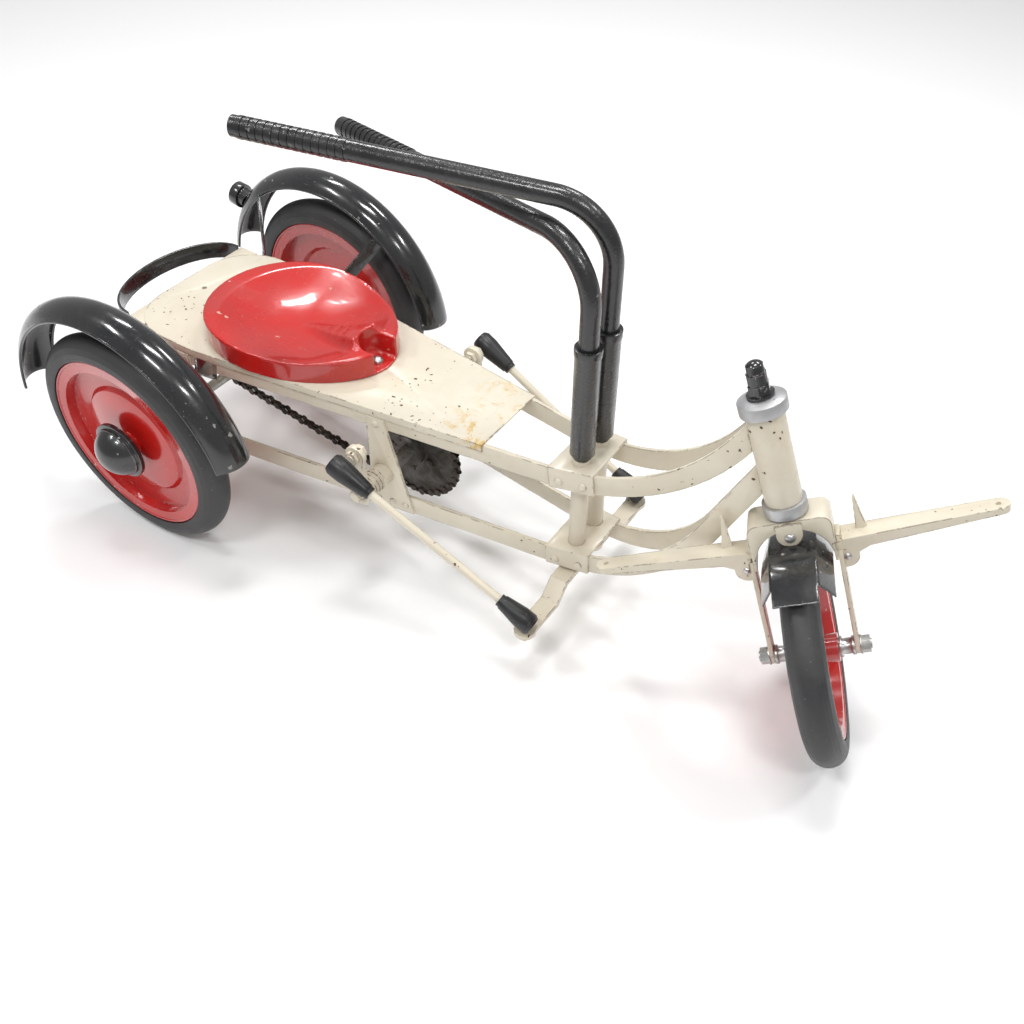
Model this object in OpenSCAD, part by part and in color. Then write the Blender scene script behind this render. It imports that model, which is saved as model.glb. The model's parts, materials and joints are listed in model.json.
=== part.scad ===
// Children's hand-lever tricycle: two swinging handles drive the rear axle
// through push rods, a crankshaft and a chain; the feet steer the front fork.
// X points forward, Y to the rider's left, Z up; the ground is z = 0.

/* [Stance] */
// Distance from the rear axle forward to the middle of the whole outline
axle_to_middle = 345.03; // [340:0.1:356]
// Height of both rear axle and crankshaft
axle_z = 127; // [127:0.5:128]
// Sideways distance between the middles of the rear tyres
rear_track = 346; // [342:1:352]

/* [Rear wheels] */
// Outer radius of a rear tyre
rear_tyre_r = 127; // [126:0.5:127]
// Radius of the rear rim's lip
rear_lip_r = 102; // [98:1:104]
// Radius of the tyre's rounded section
tyre_section_r = 18; // [17:0.5:19]
// Half width of a rim, lip to lip
rim_half = 15; // [14:0.5:16]
// Radius of the rear axle
axle_r = 6; // [5:0.5:7]
// Radius of a hub cap's base
cap_r = 33; // [30:1:36]

/* [Mudguards] */
// Radius of a mudguard's crown from the axle
guard_r = 166; // [162:1:170]
// Radius of a mudguard's edges from the axle
guard_edge_r = 150; // [148:1:152]
// Width of a mudguard
guard_w = 46; // [44:1:50]
// Angle of the right mudguard's front end above the level
guard_front_right = 13; // [10:1:16]
// Angle of the left mudguard's front end above the level
guard_front_left = 7; // [5:1:12]
// Angle that a mudguard covers
guard_sweep = 161; // [150:1:165]

/* [Deck and seat] */
// Height of the deck's top face
deck_z = 210; // [208:0.5:212]
// Front edge of the deck, from the rear axle
deck_front_x = 377; // [370:1:384]
// Rear edge of the deck, from the rear axle
deck_rear_x = -79; // [-82:1:-76]
// Width of the deck at its front edge
deck_front_w = 98; // [94:1:102]
// Width of the deck where its sides run parallel
deck_rear_w = 192; // [188:1:196]
// Length of the seat
seat_l = 228; // [220:1:234]
// Width of the seat at its widest
seat_w = 182; // [176:1:188]
// Middle of the seat, from the rear axle
seat_x = 108; // [104:1:112]
// Height of the seat's rim above the deck
seat_h = 27; // [22:1:30]

/* [Frame bars] */
// Height of a flat frame bar
bar_h = 22; // [20:1:24]
// Thickness of a flat frame bar
bar_t = 4.5; // [4:0.5:5]
// Height of the lower bars' centre line
low_bar_z = 88.5; // [87:0.5:90]
// Where the handle bearings stand, from the rear axle
post_x = 475; // [470:1:480]
// Half the distance between the handle bearings
post_y = 18; // [17:0.5:19]

/* [Steering head] */
// Lower end of the steering axis, from the rear axle
head_x = 681.5; // [680:0.5:683]
// Height of the lower end of the steering axis
head_z = 243.6; // [243:0.1:244.5]
// Length of the steering head over its cups
head_l = 121; // [116:0.5:124]
// Lean of the steering axis behind the vertical
rake = 22.6; // [22:0.1:23]
// Turn of the fork to the rider's right as it stands
steer_rest = -66; // [-66:1:-60]

/* [Front wheel] */
// Outer radius of the front tyre
front_tyre_r = 114; // [113:0.5:114]
// Radius of the front rim's lip
front_lip_r = 88; // [84:1:90]
// Distance of the front axle ahead of the steering axis
fork_offset = 20.4; // [18:0.1:22]
// Distance of the front axle below the steering head, along its axis
fork_drop = 150.4; // [150:0.1:152]
// Reach of a foot bar's tip from the steering axis
foot_reach = 190; // [180:1:200]

/* [Handles] */
// Radius of a handle tube
handle_r = 9.5; // [9:0.5:10]
// Bend radius of a handle tube
handle_bend = 57; // [52:1:60]
// Level of the right handle, which passes underneath
handle_z_right = 443; // [440:1:444]
// Level of the left handle, which passes on top
handle_z_left = 470; // [469:0.5:473]
// Bend of the right handle, which droops to its tip
bend_right = 94; // [92:0.5:95]
// Bend of the left handle, which rises to its tip
bend_left = 88.5; // [88:0.5:90]
// Reach of a handle from its upright to its tip
handle_reach = 357; // [345:1:365]
// Inward angle of each handle as it stands
handle_in = 14.7; // [12:0.1:16]
// Sideways place of the lever arms' outer ends
lever_y = 117; // [115:1:119]

/* [Drive] */
// Distance from the rear axle to the crankshaft: a 62-link chain
crank_x = 257.8; // [257.5:0.1:258]
// Crank radius
crank_r = 52; // [50:1:54]
// Sideways place of the chain
chain_y = -15; // [-18:1:-12]
// Pitch of the chain
chain_pitch = 12.7; // [12.7]
// Teeth on the chainwheel
wheel_teeth = 30; // [30]
// Teeth on the axle sprocket
axle_teeth = 12; // [12]

/* [Hidden] */
$fn = 64;

fit = 0.05;            // running clearance of a shaft in its bore
gap = 0.5;             // clearance between parts that pass each other
sheet = 1.5;           // pressed sheet steel
plate = 3;             // bracket plate
upper_tilt = 7;        // slope of the upper bars at the handle bearings
lower_tilt = 4;        // slope of the lower bars there
parallel_x = 30;       // ahead of this the deck's sides taper
bend_x = 377;          // ahead of this the frame bars curve in
head_half = 8;         // half width over the bars behind the head tube
head_end_x = 655;      // where the bars' plan curve ends
head_tube_r = 17.5;
stem_r = 9;
post_r = 9;            // outside of a handle bearing tube
spindle_r = 6;         // handle spindle in its bearing tube
crank_shaft_r = 8;
crank_face = 101;      // inner face of a crank arm
rod_y = 130;           // push rod ball at the crank
ball_z = 71;           // push rod ball over the lever arm
cream = "#e9dfc8";
red = "#b8201c";
black = "#17181a";
rubber = "#26272a";
steel = "#a8abb0";
zinc = "#b9bcc2";

pitch_big = chain_pitch / (2 * sin(180 / wheel_teeth));
pitch_small = chain_pitch / (2 * sin(180 / axle_teeth));

// ---- placing helpers ----

// everything is drawn from the rear axle and moved so that the outline is centred
module placed() translate([-axle_to_middle, 0, 0]) children();

// a turned shape whose axis lies along Y, at a height over the ground
module across(x, y, z) translate([x, y, z]) rotate([-90, 0, 0]) children();

// right side from a left-side shape
module sided(side) scale_mirror(side) children();
module scale_mirror(side) if (side < 0) mirror([0, 1, 0]) children(); else children();

// along the steering axis, from the lower end of the head, not turned
module at_head() translate([head_x, 0, head_z]) rotate([0, -rake, 0]) children();

// the same, turned with the fork
module steered() at_head() rotate([0, 0, steer_rest]) children();

module tube(r_out, r_in, h) difference() {
    cylinder(r = r_out, h = h);
    translate([0, 0, -1]) cylinder(r = r_in, h = h + 2);
}

module hex(flats, h) cylinder(r = flats / sqrt(3), h = h, $fn = 6);

// domed rivet head standing on z = 0
module rivet_head(r) intersection() {
    cylinder(r = r, h = r);
    translate([0, 0, -r * 0.45]) sphere(r = r * 1.12);
}

// ---- frame curves ----

function deck_half(x) = x < parallel_x ? deck_rear_w / 2
    : deck_rear_w / 2 - (deck_rear_w - deck_front_w) / 2 * (x - parallel_x) / (deck_front_x - parallel_x);

// half width over the bars: beside the deck, then a smooth curve that closes
// behind the head tube
bar_inset = sheet + 0.2;
span = head_end_x - bend_x;
side_slope = -(deck_rear_w - deck_front_w) / 2 / (deck_front_x - parallel_x) * span;
end_slope = -50;
side_start = deck_half(bend_x) - bar_inset;
cubic_c = 3 * (head_half - side_start) - 2 * side_slope - end_slope;
cubic_d = head_half - side_start - side_slope - cubic_c;
function bar_side(x) = x < bend_x ? deck_half(x) - bar_inset
    : let (t = (x - bend_x) / span) side_start + side_slope * t + cubic_c * t * t + cubic_d * t * t * t;

function bar_stations(start) = concat([start, parallel_x, bend_x],
    [for (i = [1:14]) bend_x + i * (span + 8) / 14]);

// plan of one bar, on the left side
module bar_plan(start) {
    xs = bar_stations(start);
    n = len(xs);
    polygon(concat([for (x = xs) [x, bar_side(x)]],
                   [for (i = [n - 1:-1:0]) [xs[i], bar_side(xs[i]) - bar_t]]));
}

// side view of one bar: level, an arc upwards, then a straight end
function bar_line(start, arc_x, z, r, turn, tail) = concat([[start, z, 0]],
    [for (i = [0:14]) let (a = turn * i / 14) [arc_x + r * sin(a), z + r * (1 - cos(a)), a]],
    [[arc_x + r * sin(turn) + tail * cos(turn), z + r * (1 - cos(turn)) + tail * sin(turn), turn]]);

module bar_side_view(start, arc_x, z, r, turn, tail) {
    line = bar_line(start, arc_x, z, r, turn, tail);
    n = len(line);
    h = bar_h / 2;
    polygon(concat([for (p = line) [p[0] - h * sin(p[2]), p[1] + h * cos(p[2])]],
                   [for (i = [n - 1:-1:0]) let (p = line[i]) [p[0] + h * sin(p[2]), p[1] - h * cos(p[2])]]));
}

module bar(start, arc_x, z, r, turn, tail) difference() {
    intersection() {
        linear_extrude(height = 500) bar_plan(start);
        translate([0, 150, 0]) rotate([90, 0, 0]) linear_extrude(height = 150)
            bar_side_view(start, arc_x, z, r, turn, tail);
    }
    at_head() translate([0, 0, -60]) cylinder(r = head_tube_r + 0.05, h = 220);
    at_head() translate([-7, -60, -60]) cube([80, 120, 220]);
}

upper_z = deck_z - sheet - bar_h / 2;
upper_arc_x = 447;
upper_arc_r = 210;
low_arc_x = 462;
low_arc_r = 166;
module upper_bar() bar(-18, upper_arc_x, upper_z, upper_arc_r, 59.6, 40);
module lower_bar() bar(-30, low_arc_x, low_bar_z, low_arc_r, 65.7, 135);

module frame_upper_bar_right() placed() color(cream) sided(-1) upper_bar();
module frame_upper_bar_left() placed() color(cream) upper_bar();
module frame_lower_bar_right() placed() color(cream) sided(-1) lower_bar();
module frame_lower_bar_left() placed() color(cream) lower_bar();

// ---- steering head ----

cup_h = 14;
module head_tube() placed() at_head() color(cream)
    translate([0, 0, cup_h]) tube(head_tube_r, head_tube_r - 3, head_l - 2 * cup_h);

// a pressed cup with a rounded shoulder
module cup(r) difference() {
    union() {
        cylinder(r = r, h = cup_h - 3);
        translate([0, 0, cup_h - 3]) intersection() {
            cylinder(r = r - 0.2, h = 3);
            translate([0, 0, -r * 2.2]) sphere(r = r * 2.43);
        }
    }
    translate([0, 0, -1]) cylinder(r = stem_r + fit, h = cup_h + 2);
}
module head_cups() placed() at_head() color(steel) {
    translate([0, 0, cup_h]) mirror([0, 0, 1]) cup(20.5);
    translate([0, 0, head_l - cup_h]) cup(22);
}

// ---- cross brackets and handle bearings ----

function arc_line(x, start, z, r) = z + r - sqrt(pow(r, 2) - pow(max(x - start, 0), 2));
upper_post_z = arc_line(post_x, upper_arc_x, upper_z, upper_arc_r);
lower_post_z = arc_line(post_x, low_arc_x, low_bar_z, low_arc_r);
bracket_l = 48;
bracket_slope = atan((bar_side(post_x - 13) - bar_side(post_x + 13)) / 26);
// plan of a saddle grown by e over the bars
module saddle_plan(e, l) {
    stations = [for (i = [-4:4]) i * l / 8];
    polygon(concat([for (x = stations) [x, -bar_side(post_x + x) - e]],
                   [for (i = [8:-1:0]) [stations[i], bar_side(post_x + stations[i]) + e]]));
}

// saddle over both bars, in the bars' slope
module saddle(z, tilt) difference() {
    translate([post_x, 0, z]) rotate([0, -tilt, 0]) difference() {
        translate([0, 0, -bar_h / 2 + 2]) linear_extrude(height = bar_h - 2 + plate + 1.8)
            saddle_plan(plate + 0.4, bracket_l);
        translate([0, 0, -bar_h / 2 - 10]) linear_extrude(height = bar_h + 11.8)
            saddle_plan(0.4, bracket_l + 30);
    }
    for (s = [-1, 1]) translate([post_x, s * post_y, 50]) cylinder(r = post_r, h = 300);
}
module upper_cross_bracket() placed() color(cream) saddle(upper_post_z, upper_tilt);
module lower_cross_bracket() placed() color(cream) saddle(lower_post_z, lower_tilt);

post_bottom = 84;
post_top = 221;
module handle_bearing_tubes() placed() color(cream)
    for (s = [-1, 1]) translate([post_x, s * post_y, post_bottom])
        tube(post_r, spindle_r + fit, post_top - post_bottom);

// ---- deck, beam and hoop ----

corner_r = 60;
// plan of the deck drawn in by e: tapered sides and rounded rear corners
function deck_outline(e) = let (
    w = deck_rear_w / 2,
    cx = deck_rear_x + corner_r,
    left = concat([[deck_front_x - e, deck_front_w / 2 - e], [parallel_x, w - e]],
        [for (i = [0:10]) let (a = 90 + 9 * i) [cx + (corner_r - e) * cos(a), w - corner_r + (corner_r - e) * sin(a)]]),
    n = len(left)
) concat(left, [for (i = [n - 1:-1:0]) [left[i][0], -left[i][1]]]);

deck_hole_x = -48;
module deck_plate() placed() color(cream) difference() {
    translate([0, 0, deck_z - 9]) linear_extrude(height = 9) polygon(deck_outline(0));
    difference() {
        translate([0, 0, deck_z - 10]) linear_extrude(height = 10 - sheet) polygon(deck_outline(sheet));
    }
    translate([deck_front_x - 5, -deck_front_w / 2 + sheet + 0.5, deck_z - 10])
        cube([10, deck_front_w - 2 * sheet - 1, 10 - sheet]);
    translate([deck_rear_x - 2, -90, deck_z - 10]) cube([31, 180, 10 - sheet]);
    translate([deck_hole_x, 0, deck_z - 10]) cylinder(r = 3, h = 20);
    translate([tab_x, 0, deck_z - 10]) cylinder(r = 3.2, h = 20);
}

// channel under the rear edge, open below
beam_half = 92;
beam_d = 27;
module rear_cross_beam() placed() color(cream) difference() {
    translate([deck_rear_x + 1, -beam_half, deck_z - sheet - 22]) cube([beam_d - 1, 2 * beam_half, 22]);
    translate([deck_rear_x + 3.5, -beam_half - 1, deck_z - sheet - 25])
        cube([beam_d - 6, 2 * beam_half + 2, 22.5]);
}

// flat strip on edge, bent in half an ellipse behind the beam
hoop_half = 88;
hoop_reach = 55;
hoop_h = 20;
hoop_t = 3;
module hoop_plan(e) polygon(concat([[8, hoop_half - e]],
    [for (i = [0:24]) let (a = 90 + 7.5 * i) [(hoop_reach - e) * cos(a), (hoop_half - e) * sin(a)]],
    [[8, -hoop_half + e]]));
module rear_hoop() placed() color(black) translate([deck_rear_x, 0, deck_z - hoop_h + 3])
    difference() {
        linear_extrude(height = hoop_h) hoop_plan(0);
        translate([0, 0, -1]) linear_extrude(height = hoop_h + 2) hoop_plan(hoop_t);
        translate([0.9, -beam_half - 5, -1]) cube([20, 2 * beam_half + 10, hoop_h + 2]);
    }

// ---- seat ----

function seat_outline(e) = [for (i = [0:47]) let (a = i * 7.5)
    [seat_x + (seat_l / 2 - e) * cos(a), (seat_w / 2 - 1 - e - 15 * cos(a)) * sin(a)]];

// pressed pan: a turned-down skirt round a dished top, and a front tab for its bolt
dish_r = 320;
dish_z = deck_z + seat_h + dish_r - 14;
tab_x = seat_x + 98;
module seat_notch(r, z) translate([tab_x, 0, z]) {
    cylinder(r = r, h = seat_h);
    translate([0, -r, 0]) cube([40, 2 * r, seat_h]);
}
module seat_pan() placed() color(red) difference() {
    translate([0, 0, deck_z]) linear_extrude(height = seat_h) polygon(seat_outline(0));
    translate([seat_x, 0, dish_z]) sphere(r = dish_r, $fn = 96);
    difference() {
        translate([0, 0, deck_z - 1]) linear_extrude(height = seat_h - 2) polygon(seat_outline(2.5));
        translate([seat_x, 0, dish_z]) sphere(r = dish_r + 2.5, $fn = 96);
        seat_notch(19.5, deck_z - 1);
    }
    seat_notch(17, deck_z + sheet + 1);
    translate([tab_x, 0, deck_z - 10]) cylinder(r = 3.2, h = 60);
}

module seat_bolt() placed() color(steel) {
    translate([tab_x, 0, deck_z - 12]) cylinder(r = 3, h = 15);
    translate([tab_x, 0, deck_z + sheet + 2.5]) rivet_head(6.5);
    translate([tab_x, 0, deck_z + sheet + 1.1]) cylinder(r = 6.5, h = 1.5);
    translate([tab_x, 0, deck_z - sheet - 5.1]) hex(10, 5);
}

// ---- mudguards ----

guard_y = 171;
guard_rise = guard_r - guard_edge_r;
guard_arc = (pow(guard_w / 2, 2) + pow(guard_rise, 2)) / (2 * guard_rise);

// crowned section with a beaded edge, swept round the axle
module mudguard(front) across(0, guard_y, axle_z) rotate([0, 0, 360 - front - guard_sweep])
    rotate_extrude(angle = guard_sweep, $fn = 96) {
        intersection() {
            difference() {
                translate([guard_r - guard_arc, 0]) circle(r = guard_arc);
                translate([guard_r - guard_arc, 0]) circle(r = guard_arc - sheet);
            }
            translate([guard_edge_r, -guard_w]) square([40, 2 * guard_w]);
        }
        for (s = [-1, 1]) translate([guard_edge_r + 0.5, s * (guard_w / 2 - 1.4)]) circle(r = 1.7);
    }
module mudguard_right() placed() color(black) sided(-1) mudguard(guard_front_right);
module mudguard_left() placed() color(black) mudguard(guard_front_left);

guard_inner_y = guard_y - guard_w / 2;
// flat strip standing in the plane x-z, from the frame out to a mudguard's inner edge
module stay(a, reach, bar_x, bar_z) {
    tip = [reach * cos(a), guard_inner_y - 3, axle_z + reach * sin(a)];
    root = [bar_x, deck_rear_w / 2 + 2.5, bar_z];
    d = tip - root;
    run = norm([d[0], d[1]]);
    translate(root) rotate([0, 0, atan2(d[1], d[0])]) rotate([0, -atan2(d[2], run), 0])
        translate([0, -1.25, -8]) cube([norm(d), 2.5, 16]);
}
module mudguard_stays() placed() color(black) for (s = [-1, 1]) sided(s) difference() {
    union() {
        stay(52, guard_edge_r + 2, 62, 196);
        stay(126, guard_edge_r + 2, -48, 196);
    }
    across(0, guard_inner_y - 0.3, axle_z) cylinder(r = guard_r + 40, h = guard_w);
}

// ---- tail lamp on the left mudguard ----

lamp_a = 146;
lamp_x = (guard_r - 3) * cos(lamp_a);
lamp_z = axle_z + (guard_r - 3) * sin(lamp_a);
module at_lamp() translate([lamp_x, guard_y, lamp_z]) rotate([0, -90 + 8, 0]) children();
module tail_lamp() placed() color(black) difference() {
    at_lamp() difference() {
        union() {
            translate([0, 0, -6]) cylinder(r = 11, h = 18);
            translate([0, 0, 10]) cylinder(r = 15, h = 12);
        }
        translate([0, 0, 18]) cylinder(r = 12.5, h = 10);
    }
    across(0, guard_y - 40, axle_z) cylinder(r = guard_r + 0.05, h = 80, $fn = 96);
}
module tail_lamp_lens() placed() color(red) at_lamp() translate([0, 0, 18])
    intersection() {
        cylinder(r = 12.4, h = 5);
        translate([0, 0, -26]) sphere(r = 31);
    }

// ---- crankshaft bearings and axle hangers ----

taper = atan((deck_rear_w - deck_front_w) / 2 / (deck_front_x - parallel_x));
crank_plate_y = bar_side(crank_x) + 0.1;
module crank_bracket() difference() {
    translate([crank_x, crank_plate_y, 0]) rotate([0, 0, -taper]) rotate([90, 0, 0])
        translate([0, 0, -plate]) linear_extrude(height = plate) polygon([
            [-14, deck_z - 9.5], [6, deck_z - 9.5], [34, low_bar_z - 10], [-18, low_bar_z - 10]]);
    across(crank_x, 20, axle_z) cylinder(r = 12, h = 100);
}
module crank_brackets() placed() color(cream) for (s = [-1, 1]) sided(s) crank_bracket();

// flanged bush with raised thread rings
module crank_bush() across(crank_x, 0, axle_z) difference() {
    union() {
        translate([0, 0, 56]) cylinder(r = 12, h = crank_face - 56 - gap);
        for (i = [0:4]) translate([0, 0, 76 + i * 5]) cylinder(r = 13.2, h = 2.4);
    }
    cylinder(r = crank_shaft_r + fit, h = 120);
}
module crank_bushes() placed() color(cream) for (s = [-1, 1]) sided(s) crank_bush();

module axle_hanger() difference() {
    union() {
        translate([-17, bar_side(0) + 0.1, low_bar_z - 11]) cube([38, plate, deck_z - 9.5 - low_bar_z + 11]);
        across(0, bar_side(0) + 0.1, axle_z) cylinder(r = 14, h = 16);
    }
    across(0, 50, axle_z) cylinder(r = axle_r + fit, h = 100);
}
module axle_hangers() placed() color(cream) for (s = [-1, 1]) sided(s) axle_hanger();

// rivet heads on the outer faces of the brackets
module frame_rivets() placed() color(cream) for (s = [-1, 1]) sided(s) {
    for (line = [[upper_post_z, upper_tilt], [lower_post_z, lower_tilt]], dx = [-13, 13])
        translate([post_x, 0, line[0]]) rotate([0, -line[1], 0])
            translate([dx, bar_side(post_x + dx) + plate + 0.5, 0]) rotate([0, 0, -bracket_slope])
                rotate([-90, 0, 0]) rivet_head(4.5);
    translate([crank_x, crank_plate_y, 0]) rotate([0, 0, -taper])
        for (p = [[-4, deck_z - 17], [-10, low_bar_z], [8, low_bar_z], [24, low_bar_z]])
            translate([p[0], plate, p[1]]) rotate([-90, 0, 0]) rivet_head(4);
    for (dx = [-9, 14], z = [low_bar_z, deck_z - 17])
        translate([dx, bar_side(0) + 0.1 + plate, z]) rotate([-90, 0, 0]) rivet_head(4);
}

// ---- chain ----

wrap = acos((pitch_small - pitch_big) / crank_x);
function loop_points(d) = concat(
    [for (i = [0:24]) let (a = -wrap + 2 * wrap * i / 24)
        [crank_x + (pitch_big + d) * cos(a), axle_z + (pitch_big + d) * sin(a)]],
    [for (i = [0:14]) let (a = wrap + (360 - 2 * wrap) * i / 14)
        [(pitch_small + d) * cos(a), axle_z + (pitch_small + d) * sin(a)]]);
module loop_slab(d, w) translate([0, chain_y + w / 2, 0]) rotate([90, 0, 0])
    linear_extrude(height = w) polygon(loop_points(d));
// side plates and backs of the links, open towards the teeth
module chain() placed() color("#2b2320") difference() {
    loop_slab(5, 8);
    loop_slab(-5, 10);
    difference() {
        loop_slab(4.2, 4.4);
        loop_slab(-6, 12);
    }
}

// ---- fork ----

cheek = 38.5;          // outer face of the fork crown's cheeks
crown_d = 34;
crown_top = -gap;
cheek_z = -50;
arch_r = 36;
tab_z = -14;
// pressed box over the wheel, its front arched, with a round-ended tab for the guard
module fork_crown() placed() steered() color(cream) difference() {
    union() {
        difference() {
            union() {
                translate([-crown_d / 2, -cheek, cheek_z]) cube([crown_d, 2 * cheek, crown_top - 10 - cheek_z]);
                translate([-crown_d / 2, -cheek + 10, crown_top - 20]) cube([crown_d, 2 * cheek - 20, 20]);
                for (s = [-1, 1]) translate([-crown_d / 2, s * (cheek - 10), crown_top - 10]) rotate([0, 90, 0])
                    cylinder(r = 10, h = crown_d);
            }
            translate([-crown_d / 2 - 1, -arch_r, cheek_z - 1])
                cube([crown_d - 1.5, 2 * arch_r, -cheek_z - 12]);
            translate([-crown_d / 2 - 1, -arch_r + 8, cheek_z]) cube([crown_d - 1.5, 2 * arch_r - 16, -cheek_z - 4]);
            translate([0, 0, cheek_z + 5]) rotate([0, 90, 0]) cylinder(r = arch_r, h = crown_d);
            translate([0, -arch_r, cheek_z - 1]) cube([crown_d, 2 * arch_r, 6]);
        }
        translate([0, 0, -14]) cylinder(r = 14, h = 12);
        translate([crown_d / 2 - 0.5, -12, tab_z]) cube([2.3, 24, -tab_z - 3]);
        translate([crown_d / 2 - 0.5, 0, tab_z]) rotate([0, 90, 0]) cylinder(r = 11.9, h = 2.3);
        translate([crown_d / 2 - 2.5, -12, -14]) cube([2.5, 24, 10]);
    }
    translate([0, 0, -30]) cylinder(r = stem_r, h = 40);
}

blade_y = cheek + 0.1;
blade_t = 4.5;
// side view of a blade grown by e
function blade_side(e) = [[-9.4 - e, -28 + e], [9.4 + e, -28 + e], [fork_offset + 8 + e, -fork_drop + 4],
                          [fork_offset - 8 - e, -fork_drop - 3]];
// flat blade tapering to a rounded end at the axle
module fork_blade() difference() {
    translate([0, blade_y + blade_t, 0]) rotate([90, 0, 0]) linear_extrude(height = blade_t) union() {
        polygon(blade_side(0));
        translate([fork_offset, -fork_drop]) circle(r = 8.6);
    }
    across(fork_offset, 0, -fork_drop) cylinder(r = 5, h = 80);
}
module fork_blades() placed() steered() color(cream) for (s = [-1, 1]) sided(s) fork_blade();

module steering_stem() placed() steered() color(steel) translate([0, 0, -14])
    cylinder(r = stem_r, h = head_l + 14 + 22);

// washer, lock nut and domed nut over the head
module stem_nuts() placed() steered() color(black) translate([0, 0, head_l + 0.4]) difference() {
    union() {
        cylinder(r = 12.5, h = 2.5);
        translate([0, 0, 2.5]) hex(18, 9);
        translate([0, 0, 11]) cylinder(r = 8, h = 2);
        translate([0, 0, 12.5]) hex(16, 10);
        translate([0, 0, 22.5]) intersection() {
            cylinder(r = 7.8, h = 12);
            sphere(r = 10.5);
        }
    }
    translate([0, 0, -2]) cylinder(r = stem_r, h = 24);
}

foot_z = -32;          // top face of a foot bar at its root
foot_rise = 2.4;       // rise of a foot bar to its tip, in degrees
foot_root = 12;        // half width of a foot bar at its root
foot_tip = 9;
foot_wall_t = 2.4;
foot_tip_y = foot_reach - foot_tip;
foot_start = blade_y + blade_t + 0.2;
lug_y = blade_y + 7;
lug_z = foot_z - 19;
// side wall that deepens into a lug beside the fork blade
module foot_wall() rotate([90, 0, 90]) translate([0, 0, -foot_root]) linear_extrude(height = 2 * foot_root)
    intersection() {
        union() {
            polygon([[blade_y, foot_z - 19], [blade_y, foot_z - 2], [foot_start + 2, foot_z],
                     [foot_tip_y, foot_z + 3], [foot_tip_y, foot_z - 1], [68, foot_z - 11],
                     [58, foot_z - 16], [lug_y + 10, lug_z - 7]]);
            translate([lug_y, lug_z]) circle(r = 12);
        }
        translate([blade_y, lug_z - 20]) square([foot_reach, 60]);
    }
module foot_plan(e) translate([0, 0, foot_z - 60]) linear_extrude(height = 90)
    polygon([[-foot_root + e, blade_y - 1], [foot_root - e, blade_y - 1], [foot_root - e, foot_start],
             [foot_tip - e, foot_tip_y], [-foot_tip + e, foot_tip_y], [-foot_root + e, foot_start]]);
module foot_bar() difference() {
    union() {
        translate([0, foot_tip_y, foot_z - 1]) cylinder(r = foot_tip, h = 6.5);
        intersection() {
            foot_plan(0);
            translate([0, foot_start, foot_z]) rotate([foot_rise, 0, 0])
                translate([-20, 0, -2.6]) cube([40, 200, 2.6]);
        }
        difference() {
            intersection() {
                foot_plan(0);
                foot_wall();
            }
            foot_plan(foot_wall_t);
        }
        translate([-7, 0, foot_z]) rotate([90, 0, 90]) linear_extrude(height = 5)
            polygon([[57, -1], [68, -1], [64, 16], [60.5, 36], [58.5, 34]]);
    }
    translate([0, blade_y - 1, foot_z - 120]) rotate([90, 0, 0]) mirror([0, 0, 1]) linear_extrude(height = blade_t + 1.2)
        translate([0, 120 - foot_z]) polygon(blade_side(0.2));
    translate([0, foot_tip_y - 1, foot_z - 30]) cylinder(r = 2.5, h = 60);
}
module foot_bar_right() placed() steered() color(cream) sided(-1) foot_bar();
module foot_bar_left() placed() steered() color(cream) foot_bar();

nut_y = blade_y + blade_t + 0.1;
module fork_fasteners() placed() steered() color(zinc) {
    for (s = [-1, 1]) sided(s) {
        across(fork_offset, nut_y, -fork_drop) tube(9.5, 5, 1.5);
        across(fork_offset, nut_y + 1.5, -fork_drop) difference() {
            hex(15, 8);
            translate([0, 0, -1]) cylinder(r = 5, h = 10);
        }
        across(fork_offset, 23.5, -fork_drop) tube(10.5, 5, 3);
        across(fork_offset, 26.5, -fork_drop) tube(8, 5, 9);
        across(fork_offset, 35.5, -fork_drop) tube(9.5, 5, blade_y - 35.6);
        translate([foot_root + 0.1, lug_y + 1, lug_z]) rotate([0, 90, 0]) rivet_head(3.6);
    }
    translate([crown_d / 2 + 1.9, 0, tab_z - 3]) rotate([0, 90, 0]) rivet_head(5);
}

// short folded guard over the front of the tyre, its sides flared
fender_r = 125;
fender_front = 59;
fender_sweep = 58;
module fender_arc(a) translate([fork_offset, 0, -fork_drop]) rotate([90, 0, 0]) rotate([0, 0, fender_front + a])
    rotate_extrude(angle = fender_sweep - a, $fn = 96) children();
module front_mudguard() placed() steered() color(black) {
    fender_arc(0) translate([fender_r - 1.5, -21]) square([1.5, 42]);
    fender_arc(8) for (s = [-1, 1])
        polygon([[fender_r, s * 20], [fender_r, s * 21.5], [97, s * 34], [97, s * 32.2], [fender_r - 2, s * 20]]);
}

module front_axle() placed() steered() color(zinc)
    across(fork_offset, -nut_y - 11, -fork_drop) cylinder(r = 5, h = 2 * nut_y + 22);

// ---- wheels ----

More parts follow.
